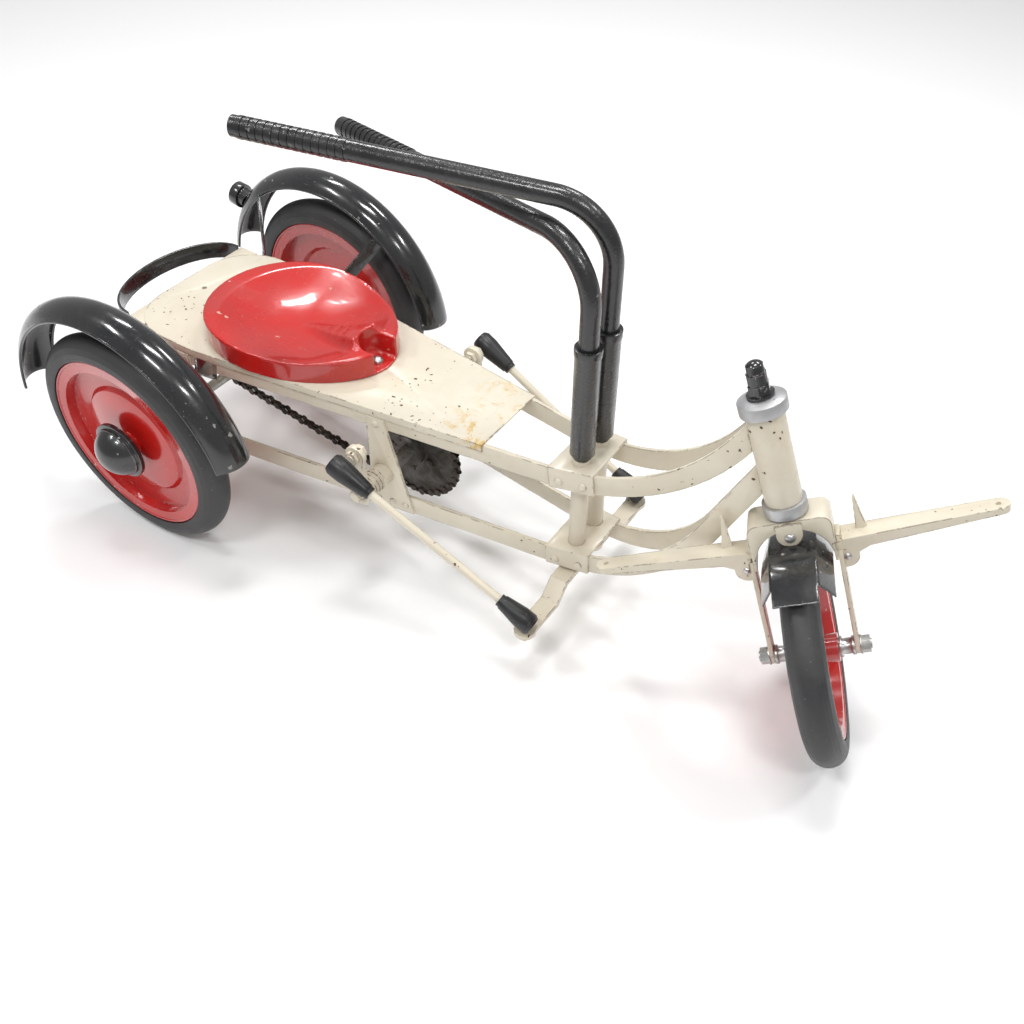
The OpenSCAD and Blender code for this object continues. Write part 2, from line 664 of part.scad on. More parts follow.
// pressed rim, stepped disc and hub in one turned section
module rim_section(lip, bore, hub_half) {
    bed = lip - 11;
    difference() {
        translate([bed - 1.6, -rim_half]) square([12.6, 2 * rim_half]);
        translate([bed, -rim_half + 1.6]) square([20, 2 * rim_half - 3.2]);
    }
    for (s = [-1, 1]) translate([lip - 0.4, s * (rim_half - 0.4)]) circle(r = 1.7);
    polygon([[bed - 1, 3], [lip * 0.65, 1], [lip * 0.61, 5.5], [lip * 0.36, 8.5], [13, 9.5],
             [13, 7.5], [lip * 0.355, 6.6], [lip * 0.6, 3.6], [lip * 0.645, -0.8], [bed - 1, 1.2]]);
    translate([bore, -hub_half]) square([14 - bore, 2 * hub_half]);
}
module tyre_section(r, lip) {
    bed = lip - 11;
    intersection() {
        translate([r - tyre_section_r, 0]) circle(r = tyre_section_r);
        translate([lip + 1.6, -30]) square([60, 60]);
    }
    translate([bed + 0.05, -rim_half + 2.3]) square([14, 2 * rim_half - 4.6]);
}

half_track = rear_track / 2;
module rear_rim() across(0, half_track, axle_z) rotate_extrude($fn = 96)
    rim_section(rear_lip_r, axle_r, 22);
module rear_tyre() across(0, half_track, axle_z) rotate_extrude($fn = 96)
    tyre_section(rear_tyre_r, rear_lip_r);
module hub_cap() across(0, half_track, axle_z) rotate_extrude() difference() {
    union() {
        translate([0, 22.2]) square([cap_r, 5]);
        translate([0, 27]) square([cap_r - 4, 4]);
        intersection() {
            translate([0, 30.9]) square([cap_r, 20]);
            translate([0, 20]) circle(r = cap_r - 3);
        }
    }
    translate([-1, 22]) square([axle_r + 1.2, 12]);
    translate([-60, 0]) square([60, 60]);
}
module rear_rim_right() placed() color(red) sided(-1) rear_rim();
module rear_tyre_right() placed() color(rubber) sided(-1) rear_tyre();
module hub_cap_right() placed() color(black) sided(-1) hub_cap();
module rear_rim_left() placed() color(red) across(0, half_track, axle_z) rotate_extrude($fn = 96)
    rim_section(rear_lip_r, axle_r + fit, 22);
module rear_tyre_left() placed() color(rubber) rear_tyre();
module hub_cap_left() placed() color(black) hub_cap();
module rear_axle() placed() color(steel)
    across(0, -half_track - 33, axle_z) cylinder(r = axle_r, h = 2 * half_track + 66);

module front_rim() placed() steered() color(red) across(fork_offset, 0, -fork_drop)
    rotate_extrude($fn = 96) rim_section(front_lip_r, 5 + fit, 23);
module front_tyre() placed() steered() color(rubber) across(fork_offset, 0, -fork_drop)
    rotate_extrude($fn = 96) tyre_section(front_tyre_r, front_lip_r);

// ---- crankshaft and sprockets ----

// toothed disc: tips and roots on two circles, flanks between
module toothed_disc(teeth, r) polygon([for (i = [0:teeth - 1], k = [0:3])
    let (a = (i + [-0.3, -0.12, 0.12, 0.3][k]) * 360 / teeth, q = r + [-4.2, 3.2, 3.2, -4.2][k])
    [q * cos(a), q * sin(a)]]);

module rear_sprocket() placed() color(steel) across(0, chain_y - 1.5, axle_z) difference() {
    union() {
        linear_extrude(height = 3) toothed_disc(axle_teeth, pitch_small);
        translate([0, 0, -10]) cylinder(r = 13, h = 20);
    }
    translate([0, 0, -20]) cylinder(r = axle_r, h = 40);
}
module chainwheel() placed() color("#5d5f60") across(crank_x, chain_y - 1.5, axle_z) difference() {
    union() {
        linear_extrude(height = 3) toothed_disc(wheel_teeth, pitch_big);
        translate([0, 0, -7]) cylinder(r = 19, h = 16);
        for (i = [0:4]) rotate([0, 0, 72 * i + 20]) translate([27, 0, -3]) hex(9, 9);
    }
    translate([0, 0, -20]) cylinder(r = crank_shaft_r, h = 40);
}
module crank_shaft() placed() color(steel)
    across(crank_x, -crank_face - 9, axle_z) cylinder(r = crank_shaft_r, h = 2 * crank_face + 18);

module crank_arm() across(crank_x, crank_face, axle_z) difference() {
    union() {
        cylinder(r = 14, h = 7);
        translate([0, -crank_r, 0]) cylinder(r = 11.5, h = 7);
        translate([-9.5, -crank_r, 0]) cube([19, crank_r, 7]);
    }
    translate([0, 0, -1]) cylinder(r = crank_shaft_r, h = 9);
    translate([0, -crank_r, -1]) cylinder(r = 4.5, h = 9);
}
module crank_arms() placed() color(cream) for (s = [-1, 1]) sided(s) crank_arm();

module crank_stud() {
    across(crank_x, crank_face - 7, axle_z + crank_r) cylinder(r = 4.5, h = 20.5);
    across(crank_x, crank_face - 6, axle_z + crank_r) difference() {
        hex(14, 5.9);
        cylinder(r = 4.5, h = 6);
    }
    across(crank_x, crank_face + 7.1, axle_z + crank_r) difference() {
        hex(14, 5);
        cylinder(r = 4.5, h = 6);
    }
    across(crank_x, crank_face + 9.1, axle_z) hex(13, 5);
    across(crank_x, crank_face + 9.05, axle_z) cylinder(r = 9, h = 1.5);
}
module crank_studs() placed() color(cream) for (s = [-1, 1]) sided(s) crank_stud();

// ---- handles ----

grip_l = 118;
tube_bottom = 236;
socket_top = 350;
// from the foot of the upright, pointing back and inwards
module at_post(side) translate([post_x, side * post_y, 0]) rotate([0, 0, 180 + side * handle_in]) children();
// at the end of the bend, with local x along the handle
module past_bend(level, bend) translate([handle_bend, 0, level - handle_bend])
    rotate([0, bend - 90, 0]) translate([0, 0, handle_bend]) children();
straight = handle_reach - handle_bend - grip_l;
module handle_tube(side, level, bend) at_post(side) {
    translate([0, 0, tube_bottom]) cylinder(r = handle_r, h = level - handle_bend - tube_bottom);
    translate([handle_bend, 0, level - handle_bend]) rotate([90, 0, 0]) rotate([0, 0, 180 - bend])
        rotate_extrude(angle = bend) translate([handle_bend, 0]) circle(r = handle_r);
    past_bend(level, bend) rotate([0, 90, 0]) cylinder(r = handle_r, h = straight);
    past_bend(level, bend) translate([straight, 0, 0]) rotate([0, 90, 0]) cylinder(r = handle_r - 2, h = grip_l - 4);
}
// ribbed grip closed over the tube's end
module handle_grip(side, level, bend) at_post(side) past_bend(level, bend) translate([straight, 0, 0])
    rotate([0, 90, 0]) rotate_extrude() difference() {
        union() {
            square([handle_r, grip_l]);
            for (i = [1:14]) translate([0, i * 7.6]) square([handle_r + 0.7, 4.4]);
        }
        translate([-1, -1]) square([handle_r - 2 + 1, grip_l - 3]);
    }
// clamp socket over the tube and the spindle
module handle_socket(side) at_post(side) difference() {
    union() {
        translate([0, 0, post_top + 6]) cylinder(r = 12.6, h = socket_top - post_top - 6);
        translate([0, 0, socket_top - 8]) cylinder(r = 13.4, h = 8);
        translate([0, 0, post_top + 0.4]) cylinder(r = 9.5, h = 6);
    }
    translate([0, 0, post_top - 1]) cylinder(r = spindle_r, h = tube_bottom - post_top + 1);
    translate([0, 0, tube_bottom]) cylinder(r = handle_r, h = 160);
}
// spindle in its bearing tube, welded to a cranked flat arm that ends in a ball stud
arm_w = 20;
module lever_arm(side) sided(side) color(cream) {
    difference() {
        intersection() {
            translate([post_x + arm_w, 0, 0]) rotate([90, 0, -90]) mirror([1, 0, 0]) linear_extrude(height = 2 * arm_w)
                polygon([[0, 75], [52, 75], [70, 58], [140, 58], [140, 52.5], [67.5, 52.5], [49.5, 69.5], [0, 69.5]]);
            translate([post_x, 0, 40]) linear_extrude(height = 60) union() {
                translate([-arm_w / 2, post_y]) square([arm_w, lever_y - post_y]);
                translate([0, post_y]) circle(r = 11.5);
                translate([0, lever_y]) circle(r = 11.5);
            }
        }
        translate([post_x, post_y, 40]) cylinder(r = spindle_r, h = 60);
        translate([post_x, lever_y, 40]) cylinder(r = 4, h = 60);
    }
    translate([post_x, post_y, 67]) cylinder(r = spindle_r, h = tube_bottom - 67);
    translate([post_x, post_y, 75]) difference() {
        cylinder(r = 9, h = post_bottom - 75 - gap);
        translate([0, 0, -1]) cylinder(r = spindle_r, h = 10);
    }
    translate([post_x, lever_y, 44]) cylinder(r = 4, h = ball_z - 44);
    translate([post_x, lever_y, 46]) difference() {
        hex(13, 6.4);
        translate([0, 0, -1]) cylinder(r = 4, h = 9);
    }
}
module handle_tube_right() placed() color(black) handle_tube(-1, handle_z_right, bend_right);
module handle_grip_right() placed() color(black) handle_grip(-1, handle_z_right, bend_right);
module handle_socket_right() placed() color(black) handle_socket(-1);
module lever_arm_right() placed() lever_arm(-1);
module handle_tube_left() placed() color(black) handle_tube(1, handle_z_left, bend_left);
module handle_grip_left() placed() color(black) handle_grip(1, handle_z_left, bend_left);
module handle_socket_left() placed() color(black) handle_socket(1);
module lever_arm_left() placed() lever_arm(1);

// ---- push rods ----

rod_from = [post_x, lever_y, ball_z];
rod_to = [crank_x, rod_y, axle_z + crank_r];
rod_v = rod_to - rod_from;
rod_l = norm(rod_v);
boot_front_l = 40;
boot_rear_l = 46;
// local z runs from the lever's ball back to the crank's ball
module on_rod() translate(rod_from) rotate([0, acos(rod_v[2] / rod_l), atan2(rod_v[1], rod_v[0])]) children();
module push_rod() on_rod() translate([0, 0, 14]) cylinder(r = 4.5, h = rod_l - 28);
module rod_boots() difference() {
    on_rod() difference() {
        union() {
            rotate_extrude() polygon([[0, -10], [9, -10], [11.6, -6], [11.6, 6], [8, boot_front_l - 10],
                                      [7, boot_front_l - 10], [7, boot_front_l - 6], [0, boot_front_l - 6]]);
            translate([0, 0, rod_l]) mirror([0, 0, 1]) rotate_extrude()
                polygon([[0, -11], [9.5, -11], [11.8, -7], [11.8, 6], [8, boot_rear_l - 10],
                         [7, boot_rear_l - 10], [7, boot_rear_l - 6], [0, boot_rear_l - 6]]);
        }
        translate([0, 0, 14]) cylinder(r = 4.5, h = rod_l - 28);
    }
    translate([post_x, lever_y, ball_z - 40]) cylinder(r = 4 + fit, h = 40 + gap);
}
module push_rod_right() placed() color(cream) sided(-1) push_rod();
module rod_boots_right() placed() color(black) sided(-1) rod_boots();
module push_rod_left() placed() color(cream) push_rod();
module rod_boots_left() placed() color(black) rod_boots();

frame_upper_bar_right();
frame_upper_bar_left();
frame_lower_bar_right();
frame_lower_bar_left();
head_tube();
head_cups();
upper_cross_bracket();
lower_cross_bracket();
handle_bearing_tubes();
rear_cross_beam();
deck_plate();
seat_pan();
seat_bolt();
rear_hoop();
mudguard_right();
mudguard_left();
mudguard_stays();
tail_lamp();
tail_lamp_lens();
crank_brackets();
crank_bushes();
axle_hangers();
frame_rivets();
chain();
fork_crown();
fork_blades();
steering_stem();
stem_nuts();
foot_bar_right();
foot_bar_left();
fork_fasteners();
front_mudguard();
front_axle();
front_rim();
front_tyre();
rear_axle();
rear_sprocket();
rear_rim_right();
rear_tyre_right();
hub_cap_right();
rear_rim_left();
rear_tyre_left();
hub_cap_left();
crank_shaft();
chainwheel();
crank_arms();
crank_studs();
handle_tube_right();
handle_grip_right();
handle_socket_right();
lever_arm_right();
handle_tube_left();
handle_grip_left();
handle_socket_left();
lever_arm_left();
push_rod_right();
rod_boots_right();
push_rod_left();
rod_boots_left();
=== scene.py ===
import json
import math
import bpy
from mathutils import Matrix, Vector


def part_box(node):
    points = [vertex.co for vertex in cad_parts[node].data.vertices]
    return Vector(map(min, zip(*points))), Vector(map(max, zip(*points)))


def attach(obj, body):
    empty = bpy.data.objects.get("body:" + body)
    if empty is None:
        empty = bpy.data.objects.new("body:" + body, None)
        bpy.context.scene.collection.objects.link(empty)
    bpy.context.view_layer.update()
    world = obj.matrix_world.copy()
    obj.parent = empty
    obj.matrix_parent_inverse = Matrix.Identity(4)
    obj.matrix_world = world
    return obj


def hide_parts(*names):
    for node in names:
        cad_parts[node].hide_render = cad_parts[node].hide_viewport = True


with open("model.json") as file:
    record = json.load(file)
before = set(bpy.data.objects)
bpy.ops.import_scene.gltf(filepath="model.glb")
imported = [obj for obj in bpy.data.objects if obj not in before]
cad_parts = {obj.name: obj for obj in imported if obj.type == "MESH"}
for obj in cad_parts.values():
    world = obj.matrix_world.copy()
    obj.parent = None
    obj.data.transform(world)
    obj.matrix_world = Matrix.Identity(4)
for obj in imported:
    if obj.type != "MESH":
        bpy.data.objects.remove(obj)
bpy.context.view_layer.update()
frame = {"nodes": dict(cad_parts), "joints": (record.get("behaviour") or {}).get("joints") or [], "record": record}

nodes = frame["nodes"]
bodies = frame["record"]["behaviour"]["bodies"]
bodyOf = {node: body for body, members in bodies.items() for node in members}
scene = bpy.context.scene
print("frame loaded:", len(nodes), "nodes")


def newGroup(name, inputs, outputs):
    group = bpy.data.node_groups.new(name, "ShaderNodeTree")
    for label, kind, value in inputs:
        socket = group.interface.new_socket(name=label, in_out="INPUT", socket_type=kind)
        if value is not None:
            socket.default_value = value
    for label, kind in outputs:
        group.interface.new_socket(name=label, in_out="OUTPUT", socket_type=kind)
    return group, group.nodes.new("NodeGroupInput"), group.nodes.new("NodeGroupOutput")


def mathNode(tree, operation, first, second=None, third=None, clamp=False):
    node = tree.nodes.new("ShaderNodeMath")
    node.operation = operation
    node.use_clamp = clamp
    for slot, value in enumerate((first, second, third)):
        if value is None:
            continue
        if isinstance(value, (int, float)):
            node.inputs[slot].default_value = value
        else:
            tree.links.new(value, node.inputs[slot])
    return node.outputs[0]


def noiseNode(tree, vector, scale, detail=4.0, rough=0.6, distortion=0.0):
    node = tree.nodes.new("ShaderNodeTexNoise")
    node.inputs["Detail"].default_value = detail
    node.inputs["Roughness"].default_value = rough
    node.inputs["Distortion"].default_value = distortion
    tree.links.new(vector, node.inputs["Vector"])
    if isinstance(scale, (int, float)):
        node.inputs["Scale"].default_value = scale
    else:
        tree.links.new(scale, node.inputs["Scale"])
    return node.outputs["Fac"]


def rangeNode(tree, value, low, high, toLow=0.0, toHigh=1.0):
    node = tree.nodes.new("ShaderNodeMapRange")
    node.interpolation_type = "SMOOTHSTEP"
    tree.links.new(value, node.inputs["Value"])
    for label, number in (("From Min", low), ("From Max", high), ("To Min", toLow), ("To Max", toHigh)):
        if isinstance(number, (int, float)):
            node.inputs[label].default_value = number
        else:
            tree.links.new(number, node.inputs[label])
    return node.outputs["Result"]


def objectCoords(tree):
    return tree.nodes.new("ShaderNodeTexCoord").outputs["Object"]


def makeEdgeWear():  # bare spots where a corner has been rubbed
    group, into, out = newGroup("edgeWear",
                                [("Width", "NodeSocketFloat", 0.002), ("Amount", "NodeSocketFloat", 0.5),
                                 ("Grain", "NodeSocketFloat", 90.0)],
                                [("Mask", "NodeSocketFloat")])
    bevel = group.nodes.new("ShaderNodeBevel")
    bevel.samples = 4
    group.links.new(into.outputs["Width"], bevel.inputs["Radius"])
    geometry = group.nodes.new("ShaderNodeNewGeometry")
    dot = group.nodes.new("ShaderNodeVectorMath")
    dot.operation = "DOT_PRODUCT"
    group.links.new(bevel.outputs["Normal"], dot.inputs[0])
    group.links.new(geometry.outputs["Normal"], dot.inputs[1])
    corner = rangeNode(group, mathNode(group, "SUBTRACT", 1.0, dot.outputs["Value"]), 0.02, 0.11)
    coords = objectCoords(group)
    fine = noiseNode(group, coords, into.outputs["Grain"], 6.0, 0.7)
    broad = noiseNode(group, coords, 22.0, 2.0, 0.5)
    ragged = mathNode(group, "ADD", mathNode(group, "MULTIPLY", fine, 0.6), mathNode(group, "MULTIPLY", broad, 0.4))
    cut = mathNode(group, "SUBTRACT", 0.6, mathNode(group, "MULTIPLY", into.outputs["Amount"], 0.12))
    worn = rangeNode(group, ragged, cut, mathNode(group, "ADD", cut, 0.03))
    group.links.new(mathNode(group, "MULTIPLY", worn, corner), out.inputs["Mask"])
    return group


def makeFlecks():  # small ragged chips scattered over a face
    group, into, out = newGroup("flecks",
                                [("Scale", "NodeSocketFloat", 60.0), ("Cover", "NodeSocketFloat", 0.3)],
                                [("Mask", "NodeSocketFloat")])
    coords = objectCoords(group)
    wobble = group.nodes.new("ShaderNodeTexNoise")
    wobble.inputs["Scale"].default_value = 240.0
    group.links.new(coords, wobble.inputs["Vector"])
    bent = group.nodes.new("ShaderNodeVectorMath")
    bent.operation = "MULTIPLY_ADD"
    bent.inputs[1].default_value = (0.006, 0.006, 0.006)
    group.links.new(wobble.outputs["Color"], bent.inputs[0])
    group.links.new(coords, bent.inputs[2])
    cells = group.nodes.new("ShaderNodeTexVoronoi")
    group.links.new(bent.outputs["Vector"], cells.inputs["Vector"])
    group.links.new(into.outputs["Scale"], cells.inputs["Scale"])
    size = group.nodes.new("ShaderNodeSeparateColor")
    group.links.new(cells.outputs["Color"], size.inputs["Color"])
    chosen = rangeNode(group, size.outputs["Red"], mathNode(group, "SUBTRACT", 1.0, into.outputs["Cover"]), 1.0)
    patch = rangeNode(group, noiseNode(group, coords, 9.0, 3.0, 0.6), 0.42, 0.62)
    radius = mathNode(group, "MULTIPLY", mathNode(group, "MULTIPLY", chosen, patch), 0.34)
    near = mathNode(group, "SUBTRACT", radius, cells.outputs["Distance"])
    group.links.new(rangeNode(group, near, -0.02, 0.03), out.inputs["Mask"])
    return group


def makeScratches():  # fine rubbed lines in two directions
    group, into, out = newGroup("scratches", [("Scale", "NodeSocketFloat", 40.0), ("Amount", "NodeSocketFloat", 0.3)],
                                [("Mask", "NodeSocketFloat")])
    coords = objectCoords(group)
    masks = []
    for turn, stretch in (((0.3, 0.2, 0.9), (1.0, 22.0, 14.0)), ((-0.4, 0.8, -0.5), (18.0, 1.0, 11.0))):
        mapping = group.nodes.new("ShaderNodeMapping")
        mapping.inputs["Rotation"].default_value = turn
        mapping.inputs["Scale"].default_value = stretch
        group.links.new(coords, mapping.inputs["Vector"])
        line = noiseNode(group, mapping.outputs["Vector"], into.outputs["Scale"], 2.0, 0.4)
        masks.append(rangeNode(group, line, 0.66, 0.74))
    both = mathNode(group, "MAXIMUM", masks[0], masks[1])
    where = rangeNode(group, noiseNode(group, coords, 16.0, 3.0, 0.6), 0.45, 0.65)
    group.links.new(mathNode(group, "MULTIPLY", mathNode(group, "MULTIPLY", both, where), into.outputs["Amount"]),
                    out.inputs["Mask"])
    return group


def makeGrime():  # broad uneven dirt, 0 clean to 1 dirty
    group, into, out = newGroup("grime", [("Scale", "NodeSocketFloat", 8.0), ("Contrast", "NodeSocketFloat", 0.5)],
                                [("Value", "NodeSocketFloat")])
    coords = objectCoords(group)
    broad = noiseNode(group, coords, into.outputs["Scale"], 6.0, 0.65, 0.4)
    centred = mathNode(group, "MULTIPLY", mathNode(group, "SUBTRACT", broad, 0.5), into.outputs["Contrast"])
    group.links.new(mathNode(group, "MULTIPLY_ADD", centred, 4.0, 0.5, clamp=True), out.inputs["Value"])
    return group


def makeTurnedRings():  # rings round an axle, from coordinates centred on it
    group, into, out = newGroup("turnedRings",
                                [("Vector", "NodeSocketVector", None), ("Spacing", "NodeSocketFloat", 0.004)],
                                [("Height", "NodeSocketFloat")])
    parts = group.nodes.new("ShaderNodeSeparateXYZ")
    group.links.new(into.outputs["Vector"], parts.inputs["Vector"])
    across = mathNode(group, "POWER", parts.outputs["X"], 2.0)
    up = mathNode(group, "POWER", parts.outputs["Z"], 2.0)
    distance = mathNode(group, "SQRT", mathNode(group, "ADD", across, up))
    phase = mathNode(group, "MULTIPLY", mathNode(group, "DIVIDE", distance, into.outputs["Spacing"]), 2 * math.pi)
    wave = mathNode(group, "SINE", phase)
    group.links.new(rangeNode(group, wave, -0.2, 0.9), out.inputs["Height"])
    return group


groups = {"edgeWear": makeEdgeWear(), "flecks": makeFlecks(), "scratches": makeScratches(),
          "grime": makeGrime(), "turnedRings": makeTurnedRings()}
print("shader groups made")


def placeGroup(tree, name, values, output=0):
    node = tree.nodes.new("ShaderNodeGroup")
    node.node_tree = groups[name]
    for label, value in values.items():
        node.inputs[label].default_value = value
    return node.outputs[output]


def mixColours(tree, mask, first, second):
    node = tree.nodes.new("ShaderNodeMix")
    node.data_type = "RGBA"
    tree.links.new(mask, node.inputs["Factor"])
    for socket, value in ((node.inputs["A"], first), (node.inputs["B"], second)):
        socket = [s for s in node.inputs if s.type == "RGBA" and s.name == socket.name][0]
        if isinstance(value, tuple):
            socket.default_value = (*value, 1.0)
        else:
            tree.links.new(value, socket)
    return [s for s in node.outputs if s.type == "RGBA"][0]


def mixNumbers(tree, mask, first, second):
    return rangeNode(tree, mask, 0.0, 1.0, first, second)


def startMaterial(name):
    material = bpy.data.materials.new(name)
    material.use_nodes = True
    tree = material.node_tree
    return material, tree, tree.nodes["Principled BSDF"]


def addBump(tree, shader, height, distance, strength=1.0):
    bump = tree.nodes.new("ShaderNodeBump")
    bump.inputs["Distance"].default_value = distance
    bump.inputs["Strength"].default_value = strength
    tree.links.new(height, bump.inputs["Height"])
    tree.links.new(bump.outputs["Normal"], shader.inputs["Normal"])


def makePaint(name, look):  # enamel over steel: dirt, scratches, chips, bare edges
    material, tree, shader = startMaterial(name)
    grime = placeGroup(tree, "grime", {"Scale": look["grimeScale"], "Contrast": look["grimeContrast"]})
    colour = mixColours(tree, grime, look["paint"], look["dirty"])
    rough = mixNumbers(tree, grime, look["rough"][0], look["rough"][1])
    if look.get("stain"):
        coords = objectCoords(tree)
        blot = noiseNode(tree, coords, 17.0, 8.0, 0.72, 0.6)
        spread = mathNode(tree, "MULTIPLY", rangeNode(tree, blot, 0.57, 0.72), look["stainAmount"])
        colour = mixColours(tree, spread, colour, look["stain"])
    if look.get("rust"):
        place = tree.nodes.new("ShaderNodeSeparateXYZ")
        tree.links.new(objectCoords(tree), place.inputs["Vector"])
        zone = rangeNode(tree, place.outputs["X"], look["rustFrom"], look["rustTo"])
        blot = rangeNode(tree, noiseNode(tree, objectCoords(tree), 32.0, 9.0, 0.75, 0.4), 0.5, 0.62)
        colour = mixColours(tree, mathNode(tree, "MULTIPLY", zone, blot), colour, look["rust"])
    scratch = placeGroup(tree, "scratches", {"Scale": look["scratchScale"], "Amount": look["scratch"]})
    colour = mixColours(tree, scratch, colour, look["rubbed"])
    chips = placeGroup(tree, "flecks", {"Scale": look["chipScale"], "Cover": look["chips"]})
    edges = placeGroup(tree, "edgeWear", {"Width": look["edgeWidth"], "Amount": look["edges"]})
    bare = mathNode(tree, "MAXIMUM", chips, edges)
    fine = noiseNode(tree, objectCoords(tree), 150.0, 3.0, 0.6)
    steel = mixColours(tree, fine, look["bare"], look["bareLight"])
    tree.links.new(mixColours(tree, bare, colour, steel), shader.inputs["Base Color"])
    tree.links.new(mixNumbers(tree, bare, rough, 0.72), shader.inputs["Roughness"])
    coat = mixNumbers(tree, bare, look["coat"], 0.0)
    tree.links.new(coat, shader.inputs["Coat Weight"])
    shader.inputs["Coat Roughness"].default_value = look["coatRough"]
    shader.inputs["IOR"].default_value = 1.5
    orange = noiseNode(tree, objectCoords(tree), look["peelScale"], 2.0, 0.5)
    height = mathNode(tree, "SUBTRACT", mathNode(tree, "MULTIPLY", orange, look["peel"]), bare)
    addBump(tree, shader, height, 0.00018)
    return material


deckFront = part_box("deck_plate")[1].x
paintLooks = {
    "creamEnamel": {"paint": (0.71, 0.655, 0.54), "dirty": (0.62, 0.555, 0.43), "rough": (0.3, 0.46),
                    "grimeScale": 9.0, "grimeContrast": 0.55, "stain": (0.55, 0.40, 0.22), "stainAmount": 0.35,
                    "scratchScale": 46.0, "scratch": 0.25, "rubbed": (0.5, 0.43, 0.32), "chipScale": 190.0,
                    "chips": 0.28, "edgeWidth": 0.0024, "edges": 0.85, "bare": (0.045, 0.028, 0.018),
                    "bareLight": (0.14, 0.085, 0.05), "coat": 0.35, "coatRough": 0.16, "peelScale": 260.0, "peel": 0.25},
    "deckEnamel": {"paint": (0.72, 0.665, 0.55), "dirty": (0.62, 0.56, 0.44), "rough": (0.34, 0.5),
                   "grimeScale": 7.0, "grimeContrast": 0.6, "stain": (0.56, 0.42, 0.24), "stainAmount": 0.4,
                   "scratchScale": 40.0, "scratch": 0.4, "rubbed": (0.42, 0.35, 0.26), "chipScale": 200.0,
                   "chips": 0.5, "edgeWidth": 0.003, "edges": 1.0, "bare": (0.05, 0.03, 0.018),
                   "bareLight": (0.2, 0.1, 0.045), "coat": 0.25, "coatRough": 0.2, "peelScale": 240.0, "peel": 0.25,
                   "rust": (0.62, 0.40, 0.09), "rustFrom": deckFront - 0.075, "rustTo": deckFront - 0.01},
    "redEnamel": {"paint": (0.56, 0.012, 0.008), "dirty": (0.42, 0.012, 0.01), "rough": (0.16, 0.34),
                  "grimeScale": 10.0, "grimeContrast": 0.6, "scratchScale": 50.0, "scratch": 0.4,
                  "rubbed": (0.66, 0.22, 0.18), "chipScale": 120.0, "chips": 0.22, "edgeWidth": 0.0018,
                  "edges": 0.45, "bare": (0.55, 0.42, 0.36), "bareLight": (0.7, 0.3, 0.22), "coat": 0.8,
                  "coatRough": 0.06, "peelScale": 60.0, "peel": 0.5},
    "blackEnamel": {"paint": (0.008, 0.009, 0.01), "dirty": (0.018, 0.018, 0.019), "rough": (0.14, 0.34),
                    "grimeScale": 14.0, "grimeContrast": 0.7, "scratchScale": 44.0, "scratch": 0.5,
                    "rubbed": (0.12, 0.12, 0.125), "chipScale": 130.0, "chips": 0.3, "edgeWidth": 0.0016,
                    "edges": 0.5, "bare": (0.16, 0.15, 0.145), "bareLight": (0.34, 0.32, 0.3), "coat": 0.7,
                    "coatRough": 0.08, "peelScale": 45.0, "peel": 0.9},
    "handleEnamel": {"paint": (0.008, 0.008, 0.009), "dirty": (0.02, 0.02, 0.021), "rough": (0.22, 0.36),
                     "grimeScale": 22.0, "grimeContrast": 0.7, "scratchScale": 60.0, "scratch": 0.25,
                     "rubbed": (0.09, 0.09, 0.092), "chipScale": 180.0, "chips": 0.2, "edgeWidth": 0.001,
                     "edges": 0.3, "bare": (0.12, 0.115, 0.11), "bareLight": (0.2, 0.19, 0.18), "coat": 0.45,
                     "coatRough": 0.14, "peelScale": 330.0, "peel": 2.6},
}
materials = {name: makePaint(name, look) for name, look in paintLooks.items()}


def makeMetal(name, look):  # plated or oily steel
    material, tree, shader = startMaterial(name)
    grime = placeGroup(tree, "grime", {"Scale": look["grimeScale"], "Contrast": 0.8})
    chips = placeGroup(tree, "flecks", {"Scale": 140.0, "Cover": look["spots"]})
    colour = mixColours(tree, grime, look["metal"], look["dull"])
    tree.links.new(mixColours(tree, chips, colour, look["spot"]), shader.inputs["Base Color"])
    rough = mixNumbers(tree, grime, look["rough"][0], look["rough"][1])
    tree.links.new(mixNumbers(tree, chips, rough, 0.8), shader.inputs["Roughness"])
    tree.links.new(mixNumbers(tree, chips, look["metallic"], 0.1), shader.inputs["Metallic"])
    addBump(tree, shader, noiseNode(tree, objectCoords(tree), 320.0, 3.0, 0.6), 0.0001, 0.6)
    return material


metalLooks = {
    "zincPlate": {"metal": (0.62, 0.62, 0.61), "dull": (0.36, 0.355, 0.34), "rough": (0.26, 0.5), "spots": 0.4,
                  "spot": (0.16, 0.09, 0.05), "metallic": 0.95, "grimeScale": 40.0},
    "silverPaint": {"metal": (0.55, 0.555, 0.56), "dull": (0.42, 0.42, 0.425), "rough": (0.36, 0.5), "spots": 0.15,
                    "spot": (0.2, 0.18, 0.16), "metallic": 0.75, "grimeScale": 26.0},
    "oilySteel": {"metal": (0.1, 0.085, 0.07), "dull": (0.028, 0.02, 0.016), "rough": (0.3, 0.62), "spots": 0.5,
                  "spot": (0.12, 0.05, 0.02), "metallic": 0.7, "grimeScale": 45.0},
    "wheelSteel": {"metal": (0.17, 0.165, 0.16), "dull": (0.05, 0.043, 0.036), "rough": (0.3, 0.55), "spots": 0.4,
                   "spot": (0.1, 0.05, 0.03), "metallic": 0.85, "grimeScale": 30.0},
}
materials.update({name: makeMetal(name, look) for name, look in metalLooks.items()})


